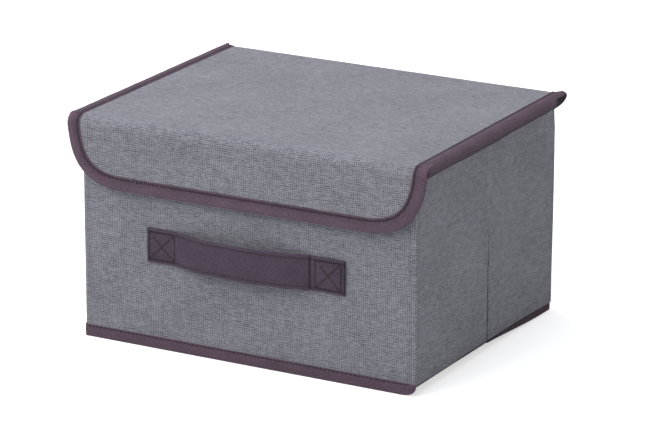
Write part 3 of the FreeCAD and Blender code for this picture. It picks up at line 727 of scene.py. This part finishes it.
def edge_stations(sign):
    """Over the crease and round the flap to its middle: point, outward, up and swell."""
    side, up, down, ahead = Vector((sign, 0, 0)), Vector((0, 0, 1)), Vector((0, 0, -1)), Vector((0, -1, 0))
    stations = [(Vector((sign * (LID_EDGE - 0.3), y, LID_TOP - 0.3)), side, up, 0.0)
                for y in steps(-90, FOLD_START_Y, 1.6)]
    first = flap_outline(0)[2]
    for i, turn in enumerate(quarter_turn(1, 10), 1):
        out = Vector((1, 0, 0)).lerp(first, i / 11)
        out = Vector((sign * out.x, 0, 0)) + Vector((0, -math.cos(turn), -math.sin(turn))) * (-out.z)
        up = Vector((0, -math.sin(turn), math.cos(turn)))
        point = Vector((sign * LID_EDGE, FOLD_START_Y - FOLD_RADIUS * math.sin(turn),
                        FOLD_END_Z + FOLD_RADIUS * math.cos(turn)))
        stations.append((point, out.normalized(), up, 0.0))
    for i in range(1, 31):
        x, z, out = flap_outline(i / 30)
        out = Vector((sign * out.x, 0, out.z))
        stations.append((Vector((sign * x, FLAP_FACE, z)), out, ahead, flap_lean(z)))
    for x in steps(86, 0, 6):
        stations.append((Vector((sign * x, FLAP_FACE, FLAP_FOOT)), down, ahead, flap_lean(FLAP_FOOT)))
    return stations


def slant_share(y):
    return max(0.0, (y - SLANT_START) / (LID_REAR - SLANT_START))


def slant(y, n):
    """How far the lip's slanting rear end stands back at a place, n above the lid's top."""
    return (SLANT_REACH + min(0.0, n)) * slant_share(y)


def tape_row(station, section):
    """The tape's section at a station. The lip hangs less at its ends, and its rear end is cut slanting."""
    point, out, up, lean = station
    hang = 1.0
    if section is LIP:
        hang = mix(0.8, 0.87, ease(-90, -20, point.y)) - 0.06 * ease(0, 50, point.y)
    pucker = 0.5 * noise.noise(Vector((point.x / 5, point.y / 5, point.z / 5)))
    row = []
    for b, n in section:
        puff = 0.14 * noise.noise(point / 9.0 + Vector((b, n, 0)))
        share = ease(-2.6, 0.2, n)
        if n < 0:
            n *= hang
        place = point + out * (b + puff * 0.6) + up * (n + puff + lean * share)
        if section is LIP and n < -5:
            place += up * (pucker * ease(5, 9, -n))
        if section is LIP and point.y > SLANT_START:
            place.y += slant(point.y, n) if b > -6 else -slant_share(point.y)
        row.append(place)
    return row


def lip_shade(station, part, shade):
    """The hanging tape's cut rear end falls in on itself; there its colour is painted dark, as shade."""
    low = min(0.0, REAR_HANG * part[1])
    back = station[0].y + slant(station[0].y, low)
    behind = back - CUT_START - 0.5 * max(0.0, -low - 4)
    return mix(shade, CUT_SHADE, ease(0.2, 1.0, -low) * ease(0.0, 1.5, behind))


def swept_tape(name, stations, section, shades, facing):
    rows = [tape_row(s, section) for s in stations]
    marks = lengths_along(rows[0])
    uv = [[(s, m) for m in marks] for s in run_of(stations)]
    # Painted light and shade for each point of the tape.
    painted_shading = [[lip_shade(s, part, shade) for part, shade in zip(section, shades)] for s in stations]
    return cloth_from(name, rows, uv, EDGE_TAPE, facing, shade=painted_shading)


def build_edge_tape():
    for side, sign in SIDES.items():
        lip = swept_tape(f"lid_{side}_edge_tape", lip_stations(sign), LIP, LIP_SHADE, (sign, 0, 0))
        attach(dress(lip, "binding_tape", f"lid_{side}_binding"), "lid")
        edge = swept_tape(f"flap_{side}_edge_tape", edge_stations(sign), FOLD, FOLD_SHADE, (sign, 0, -1))
        dress(edge, "binding_tape", *(["flap_binding"] if sign > 0 else []))
        bend_at_crease(edge)


build_edge_tape()


# Stitches

# Along a stitch: how far, how thick and how high it lies.
STITCH = ((0, 0.5, -0.22), (0.12, 0.85, 0.0), (0.5, 1.0, 0.1), (0.88, 0.85, 0.0), (1, 0.5, -0.22))


def stitches(name, path, normals, length=2.7, gap=0.55, radius=0.3):
    """Short threads lying along a path, each dipping into the cloth at its ends."""
    points, faces, uv = [], [], []
    lengths = lengths_along(path)

    def at(run):
        run = min(max(run, 0.0), lengths[-1])
        i = max(1, next((k for k, total in enumerate(lengths) if total >= run), len(lengths) - 1))
        share = (run - lengths[i - 1]) / max(1e-9, lengths[i] - lengths[i - 1])
        return path[i - 1].lerp(path[i], share), normals[i - 1].lerp(normals[i], share).normalized()

    run = gap
    while run + length < lengths[-1]:
        first = len(points)
        for part, size, lift in STITCH:
            here = run + length * part
            centre, normal = at(here)
            forward = (at(here + 0.2)[0] - at(here - 0.2)[0]).normalized()
            across = forward.cross(normal).normalized()
            for k in range(6):
                turn = math.pi * k / 3
                offset = across * math.cos(turn) * radius * 1.3 + normal * math.sin(turn) * radius
                points.append(centre + normal * lift + offset * size)
                uv.append((here, k * 0.3))
        faces += [tuple(first + i for i in face) for face in tube_faces(len(STITCH), 6)]
        run += length + gap
    return face_outwards(mesh_object(name, points, faces, uv, 60))


def build_edge_stitches():
    """The seam that holds the edge tape, in the groove a little inside its inner edge."""
    for side, sign in SIDES.items():
        for part, stations in (("lid", lip_stations(sign)), ("flap", edge_stations(sign)[4:])):
            path = [point + out * GROOVE + up * (0.34 + lean) for point, out, up, lean in stations]
            thread = stitches(f"{part}_{side}_tape_thread", path, [s[2] for s in stations])
            dress(thread, "thread")
            if part == "lid":
                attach(thread, "lid")
            else:
                bend_at_crease(thread)


build_edge_stitches()


# Linings of the lid and flap

def flat_sheet(name, outline_rows, height, flip=False):
    """A level lining through rows of (y, half width), at this height with its shown face down or up."""
    up = -1 if flip else 1
    grid, uv = [], []
    for y, half in outline_rows:
        row = [Vector((half * share, y, height)) for share in steps(-1, 1, 1 / 16)]
        grid.append([p + Vector((0, 0, swell(p, 0.15) * up)) for p in row])
        uv.append([(p.x, y) for p in row])
    return cloth_from(name, grid, uv, LINING, (0, 0, up))


def bent_sheet(name, section, halves, thickness, facing):
    """A sheet bent along this section of (y, z), with half its width, or half its width at each place."""
    if not isinstance(halves, list):
        halves = [halves] * len(section)
    grid, uv, run, before = [], [], 0.0, section[0]
    for (y, z), half in zip(section, halves):
        run += math.dist((y, z), before)
        before = (y, z)
        row = [Vector((half * share, y, z)) for share in steps(-1, 1, 1 / 16)]
        grid.append(row)
        uv.append([(p.x, run) for p in row])
    return cloth_from(name, grid, uv, thickness, facing, 60)


def build_lid_inside():
    rows = [(y, 138.0) for y in steps(FOLD_START_Y + 0.8, BOARD_END - 0.8, 9)]
    lining = flat_sheet("lid_lining_cloth", rows, LID_UNDER + 0.25, flip=True)
    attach(dress(lining, "lining", "lid_lining"), "lid")
    low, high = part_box("flap_lining")
    face = high.y / MM
    heights = steps(low.z / MM + 1, high.z / MM - 0.5, 3)
    halves = [flap_half_width(z) - 1.5 for z in heights]
    lining = bent_sheet("flap_lining_cloth", [(face, z) for z in heights], halves, LINING, (0, 1, 0))
    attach(dress(lining, "lining", "flap_lining"), "lid_flap")


def build_hinge_strip():
    """The lining over the boards' ends from the back wall to the lid."""
    inner, radius = BACK - WALL - 0.15, HINGE_RADIUS - CLOTH - 0.3
    section = [(inner + 0.1, WALL_TOP - 0.3), (inner + 0.15, WALL_TOP + 0.5), (inner + 0.5, WALL_TOP + 0.9),
               (inner + 1.4, WALL_TOP + 0.95)]
    turn_low, turn_high = WALL_TOP + 1.0, HINGE_START_Z
    section += [(mix(inner + 1.6, HINGE_END_Y + radius, share), mix(turn_low, turn_high, share))
                for share in (0.15, 0.3, 0.45, 0.6, 0.75, 0.9)]
    section += [(HINGE_END_Y + radius * math.cos(t), HINGE_START_Z + radius * math.sin(t))
                for t in map(math.radians, (0, 18, 36, 54, 70))]
    section += [(BOARD_END + 0.35, LID_TOP - 1.3), (BOARD_END + 0.3, LID_UNDER + 0.5)]
    section += [(BOARD_END - inside, LID_UNDER + 0.11) for inside in (0, 1.5, 8)]
    strip = bent_sheet("lid_hinge_lining", section, HINGE_STRIP_HALF, STRIP, (0, -1, 1))
    dress(strip, "lining")
    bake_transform(strip)


def build_crease_strip():
    """The lining over the boards' ends from the lid to the flap."""
    radius = FOLD_RADIUS - CLOTH - 0.95
    section = [(FOLD_START_Y + 8, LID_UNDER), (FOLD_START_Y + 1, LID_UNDER), (FOLD_START_Y, LID_UNDER + 0.05),
               (FOLD_START_Y - 0.3, LID_UNDER + 0.6), (FOLD_START_Y - 0.35, LID_TOP - 1.4)]
    section += [(FOLD_START_Y - radius * math.sin(t), FOLD_END_Z + radius * math.cos(t))
                for t in map(math.radians, range(15, 91, 15))]
    section += [(FLAP_BACK - 1.9, FOLD_END_Z - 0.4), (FLAP_BACK - 0.8, FOLD_END_Z - 0.4),
                (FLAP_BACK - 0.2, FOLD_END_Z - 0.8), (FLAP_BACK - 0.15, FOLD_END_Z - 8)]
    strip = bent_sheet("flap_crease_lining", section, FLAP_STRIP_HALF, STRIP, (0, 1, -1))
    dress(strip, "lining")
    bend_at_crease(strip)


build_lid_inside()
build_hinge_strip()
build_crease_strip()


# Base

# Painted shade: the base's tapes, hems and rear seam are painted darker, as they lie in shade below the
# walls.
def hem_shade(_):
    return HEM_SHADE


def folded_tape(name, rows, thickness, sign, *nodes):
    """Tape folded over an edge of the base on one side, through these rows of points, painted darker as
    shade.
    """
    marks = lengths_along(rows[0])
    uv = [[(row[0].y, mark) for mark in marks] for row in rows]
    tape = cloth_from(name, rows, uv, thickness, (sign, 0, 0), shade=hem_shade)
    return dress(tape, "binding_tape", *nodes)


def leaf_run(node):
    """From where to where a tape of the base runs, with a reach over the crease."""
    low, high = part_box(node)
    start, stop = low.y / MM, high.y / MM
    return (start, stop + CREASE_REACH) if start < 0 else (start - CREASE_REACH, stop)


def base_tape(name, node, sign):
    """Tape folded over a side edge of the base."""
    low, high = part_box(node)
    inner, edge = (low.x / MM, high.x / MM - 0.1) if sign > 0 else (high.x / MM, low.x / MM + 0.1)
    under = low.z / MM
    middle, rounded = mix(inner, edge, 0.5), edge - 0.5 * sign
    section = [(inner, HEM_TOP), (middle, HEM_TOP), (rounded, HEM_TOP), (edge, HEM_TOP - 0.4),
               (edge, mix(HEM_TOP, under, 0.5)), (edge, under + 0.4), (rounded, under), (middle, under),
               (inner, under)]
    rows = [[Vector((x, y, z)) for x, z in section] for y in steps(*leaf_run(node), 5)]
    return folded_tape(name, rows, BASE_TAPE, sign, node)


def hem(name, node, sign):
    """The tape's fold that stands out below the wall. It hangs lower towards the back; that widening dark
    band stands partly for the base's bound edge and partly for shade under the wall's foot.
    """
    start, stop = leaf_run(node)
    at_back = stop > PATCH_Y
    if at_back:
        stop = BACK + 0.4
    rows = []
    for y in steps(start, stop - 4, 5) + [stop - left for left in (3.2, 2.4, 1.6, 0.9, 0.4, 0.1)] * at_back:
        foot = mix(5.7, 5.0, ease(start, CREASE_Y, y)) if y < CREASE_Y else mix(5.0, 0.4, ease(-20, 108, y))
        round_off = 3.0 - math.sqrt(max(0.0, 9.0 - max(0.0, y - stop + 3.0) ** 2)) if at_back else 0.0
        outer = mix(HEM_OUT, HEM_OUT + 1.3, ease(CREASE_Y, 90, y)) - 0.5 * round_off
        foot = min(HEM_TOP - 0.7, foot + round_off)
        middle = mix(HEM_EDGE, outer, 0.5)
        section = [(HEM_EDGE, HEM_TOP - 0.1), (middle, HEM_TOP), (outer - 0.5, HEM_TOP),
                   (outer, HEM_TOP - 0.3), (outer, mix(HEM_TOP, foot, 0.5)), (outer, foot + 0.3),
                   (outer - 0.5, foot), (middle, foot), (HEM_EDGE, foot + 0.1)]
        rows.append([Vector((sign * x, y, z)) for x, z in section])
    if at_back:
        rows.append([Vector((sign * (HEM_EDGE + 0.05), stop - 0.1, p.z)) for p in rows[-1]])
    else:
        rows.append([p + Vector((0, stop - p.y, 0)) for p in rows[-1]])
    return folded_tape(name, rows, HEM_TAPE, sign)


def build_base():
    under_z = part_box("base_front_cover")[0].z / MM
    for leaf in ("front", "rear"):
        body = f"base_{leaf}_leaf"
        low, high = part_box(f"base_{leaf}_lining")
        rows = [(y, high.x / MM) for y in steps(low.y / MM, high.y / MM, 8)]
        top = flat_sheet(f"base_{leaf}_lining_cloth", rows, high.z / MM - 0.15)
        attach(dress(top, "lining", f"base_{leaf}_lining"), body)
        low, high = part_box(f"base_{leaf}_cover")
        rows = [(y, high.x / MM) for y in steps(low.y / MM, min(high.y / MM, REAR_SEAM_Y), 8)]
        under = flat_sheet(f"base_{leaf}_under_cloth", rows, under_z + 0.15, flip=True)
        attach(dress(under, "base_cloth", f"base_{leaf}_cover"), body)
        for side, sign in SIDES.items():
            node = f"base_{leaf}_{side}_binding"
            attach(base_tape(f"base_{leaf}_{side}_tape", node, sign), body)
            fold = hem(f"base_{leaf}_{side}_hem", node, sign)
            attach(fold, body)
            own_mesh(fold)
    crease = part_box("base_front_lining")[1].y / MM + 0.3
    offsets = (-9, -2.4, -1.2, -0.8, -0.5, -0.25, 0, 0.25, 0.5, 0.8, 1.2, 2.4, 9)
    section = [(crease + d, HEM_TOP - 0.05) for d in offsets]
    strip = bent_sheet("base_crease_lining", section, BASE_STRIP_HALF, CREASE_STRIP, (0, 0, 1))
    dress(strip, "lining")
    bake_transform(strip)
    low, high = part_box("base_rear_binding")
    y0, y1, z0, z1 = low.y / MM, high.y / MM, low.z / MM, high.z / MM
    inner = REAR_SEAM_Y + 0.1
    ring = ((y1 - 0.3, z0), (y1, z0 + 0.4), (y1, z1 - 0.4), (y1 - 0.4, z1), (y0 + 0.3, z1), (y0, z1 - 0.3),
            (y0 + 0.2, z1 - 0.5), (inner, z1 - 0.6), (inner, z0 + 0.3))
    rings = [[(x, y, z) for y, z in ring] for x in steps(low.x / MM, high.x / MM, 8)]
    # The seam tape is painted darker, as shade, like the base's other tapes.
    seam = solid_from("base_rear_seam_tape", rings, shade=hem_shade)
    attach(dress(seam, "binding_tape", "base_rear_binding"), "base_rear_leaf")


build_base()


# Front seam tape

TUCK_START = 117


def build_front_seam():
    """The tape's right end is tucked in and narrower."""
    low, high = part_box("front_bottom_binding")
    face, left, right = low.y / MM, low.x / MM, high.x / MM
    deep = face + 1.9
    rings = []
    for x in steps(left, 112, 8) + steps(114, right, 1.6):
        tuck = max(0.0, (x - TUCK_START) / (right + 0.6 - TUCK_START))
        foot = 7.0 * (1 - math.sqrt(max(0.0, 1 - tuck ** 3)))
        top = FRONT_TAPE_TOP - 1.2 * tuck ** 3
        puff = 0.12 * noise.noise(Vector((x / 11, 0, 0)))
        ring = ((deep, foot + 0.4), (deep, top - 0.2), (face + 0.5, top), (face + 0.1, top - 0.5),
                (face - 0.1 - puff, mix(foot, top, 0.6)), (face + puff, mix(foot, top, 0.25)),
                (face + 0.3, foot + 0.3), (face + 0.9, foot))
        rings.append([(x, y, z) for y, z in ring])
    tape = solid_from("front_seam_tape", rings)
    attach(dress(tape, "binding_tape", "front_bottom_binding"), "front_wall")
    path = [Vector((x, face - 0.12, FRONT_TAPE_TOP - 1.5)) for x in steps(left + 1, right - 4, 6)]
    thread = stitches("front_seam_thread", path, [Vector((0, -1, 0))] * len(path))
    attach(dress(thread, "thread"), "front_wall")


build_front_seam()


# Handle

STRAP_LOW, STRAP_HIGH = 63.0, 88.0
STRAP_END, STRAP_FLAT, STRAP_FULL = 77.2, -100.9, -109.1
STRAP_LIFT_LEFT, STRAP_LIFT_RIGHT = -55.2, 50.8
STRAP_THICK = 2.0
EDGE_SEAM = 2.5

# The crossed stitch boxes, from left to right and from low to high.
STITCH_BOXES, STITCH_LOW, STITCH_HIGH = {"left": (-75.8, -55.5), "right": (54.7, 74.3)}, 65.6, 85.4


def strap_face(x):
    """The strap's outer face in front of a place on the wall."""
    share = (x - STRAP_LIFT_LEFT) / (STRAP_LIFT_RIGHT - STRAP_LIFT_LEFT)
    if not 0 < share < 1:
        return STRAP_FLAT
    return mix(STRAP_FLAT, STRAP_FULL, 1 - abs(2 * share - 1) ** 2.4)


def strap_shade(point):
    """Painted shade in the seams along both edges, at the fold on the right and at the ends by their thread,
    and a painted highlight just inside each long edge.
    """
    edge = min(abs(point.z - STRAP_LOW - EDGE_SEAM), abs(STRAP_HIGH - EDGE_SEAM - point.z))
    dark = 0.3 * bell(edge, 0.7)
    dark += 0.55 * bell(point.x - STRAP_LIFT_RIGHT, 0.7)
    dark += 0.25 * bell(STRAP_END - abs(point.x), 0.8)
    rim = min(point.z - STRAP_LOW, STRAP_HIGH - point.z)
    return max(0.4, 1.0 - dark + 0.18 * bell(rim - 0.9, 0.6))


def build_handle():
    """The strap stands off the wall between its stitched ends."""
    fold = STRAP_LIFT_RIGHT
    places = steps(-STRAP_END, -57, 4) + steps(-56, -36, 1.5) + steps(-33, 33, 3) + steps(36, 48, 1.5)
    places += [fold - 1.2, fold - 0.6, fold, fold + 0.6, fold + 1.2] + steps(54, STRAP_END, 4)
    heights = {0.5: 0.0, 1.3: -0.2, 1.9: -0.1, EDGE_SEAM: 0.3, 3.1: 0.05, 4.2: 0.0, 8.0: 0.0}
    rings = []
    for x in places:
        edge = 0.35 * noise.noise(Vector((x / 14, 2.2, 0)))
        low, high = STRAP_LOW + edge, STRAP_HIGH + edge
        face = strap_face(x) + 0.6 * bell(x - fold, 0.6)
        ring = [(face + seam, low + h) for h, seam in heights.items()]
        ring += [(face - 0.1, (low + high) / 2)]
        ring += [(face + seam, high - h) for h, seam in reversed(heights.items())]
        ring += [(face + STRAP_THICK * 0.5, high), (face + STRAP_THICK, high - 0.8),
                 (face + STRAP_THICK, low + 0.8), (face + STRAP_THICK * 0.5, low)]
        rings.append([(x, y, z) for y, z in ring])
    strap = solid_from("handle_strap_webbing", rings, shade=strap_shade)
    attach(dress(strap, "strap", "handle_strap"), "front_wall")
    for side, (left, right) in STITCH_BOXES.items():
        low, high = STITCH_LOW, STITCH_HIGH
        corners = [(left, low), (right, low), (right, high), (left, high), (left, low), (right, high),
                   (right, low), (left, high)]
        path = []
        for a, b in zip(corners, corners[1:]):
            count = max(2, round(math.dist(a, b) / 2))
            path += [Vector((mix(a[0], b[0], k / count), STRAP_FLAT - 0.02, mix(a[1], b[1], k / count)))
                     for k in range(count)]
        thread = stitches(f"handle_{side}_thread", path, [Vector((0, -1, 0))] * len(path), 2.6, 0.45, 0.42)
        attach(dress(thread, "thread", f"handle_{side}_stitching"), "front_wall")


build_handle()


# The cardboard stays as it is in the frame, with a better material.

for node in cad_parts:
    if node.endswith("_board"):
        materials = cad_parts[node].data.materials
        materials.clear()
        materials.append(MATERIALS["cardboard"])


# Floor, light and camera

def build_stage():
    far = 8.0
    mesh = bpy.data.meshes.new("floor")
    mesh.from_pydata([(-far, -far, 0), (far, -far, 0), (far, far, 0), (-far, far, 0)], [], [(0, 1, 2, 3)])
    pale = (0.82, 0.82, 0.83)
    nodes = Material("pale_floor", pale, pale, 0.9, specular=0.1)
    glow = nodes.math("MULTIPLY", nodes.add("LightPath", {}, "Is Camera Ray"), 0.56)
    nodes.put(nodes.last, {"Emission Color": (1, 1, 1, 1), "Emission Strength": glow})
    mesh.materials.append(nodes.material)
    linked("floor", mesh)


def aimed(name, data, place, target):
    obj = linked(name, data)
    obj.location = place
    obj.rotation_euler = (Vector(target) - Vector(place)).to_track_quat("-Z", "Y").to_euler()
    return obj


def add_light(name, place, target, size, power, colour=(1, 1, 1)):
    data = bpy.data.lights.new(name, "AREA")
    data.shape = "RECTANGLE"
    data.size, data.size_y = size
    data.energy = power
    data.color = colour
    aimed(name, data, place, target)


def build_light():
    """A white room that lights less than it shows, and soft lamps."""
    world = bpy.context.scene.world = bpy.data.worlds.new("soft_room")
    nodes = Nodes(world, "Background")
    strength = nodes.ranged(nodes.add("LightPath", {}, "Is Camera Ray"), 0.42, 1.0, 0, 1)
    nodes.put(nodes.last, {"Color": (1, 1, 1, 1), "Strength": strength})
    add_light("top_softbox", (-0.3, -0.1, 1.6), (0, 0, 0.1), (1.6, 1.6), 18, (0.93, 0.96, 1.0))
    add_light("front_softbox", (-0.6, -1.25, 1.25), (0, 0, 0.08), (1.0, 0.7), 12.5, (1.0, 0.985, 0.97))
    add_light("side_softbox", (1.6, -0.3, 0.7), (0, 0, 0.08), (1.2, 1.0), 1.7)


def build_camera():
    """A long lens from the front and the right, looking a little down."""
    data = bpy.data.cameras.new("photo_camera")
    data.sensor_width = 36.0
    data.lens = 207.915
    data.clip_end = 50
    camera = aimed("photo_camera", data, (1.22801, -2.20368, 0.87569), (-0.11267, 0.21818, 0.0))
    bpy.context.scene.camera = camera


build_stage()
build_light()
build_camera()
bpy.context.scene.view_settings.view_transform = "Standard"


bpy.context.view_layer.update()
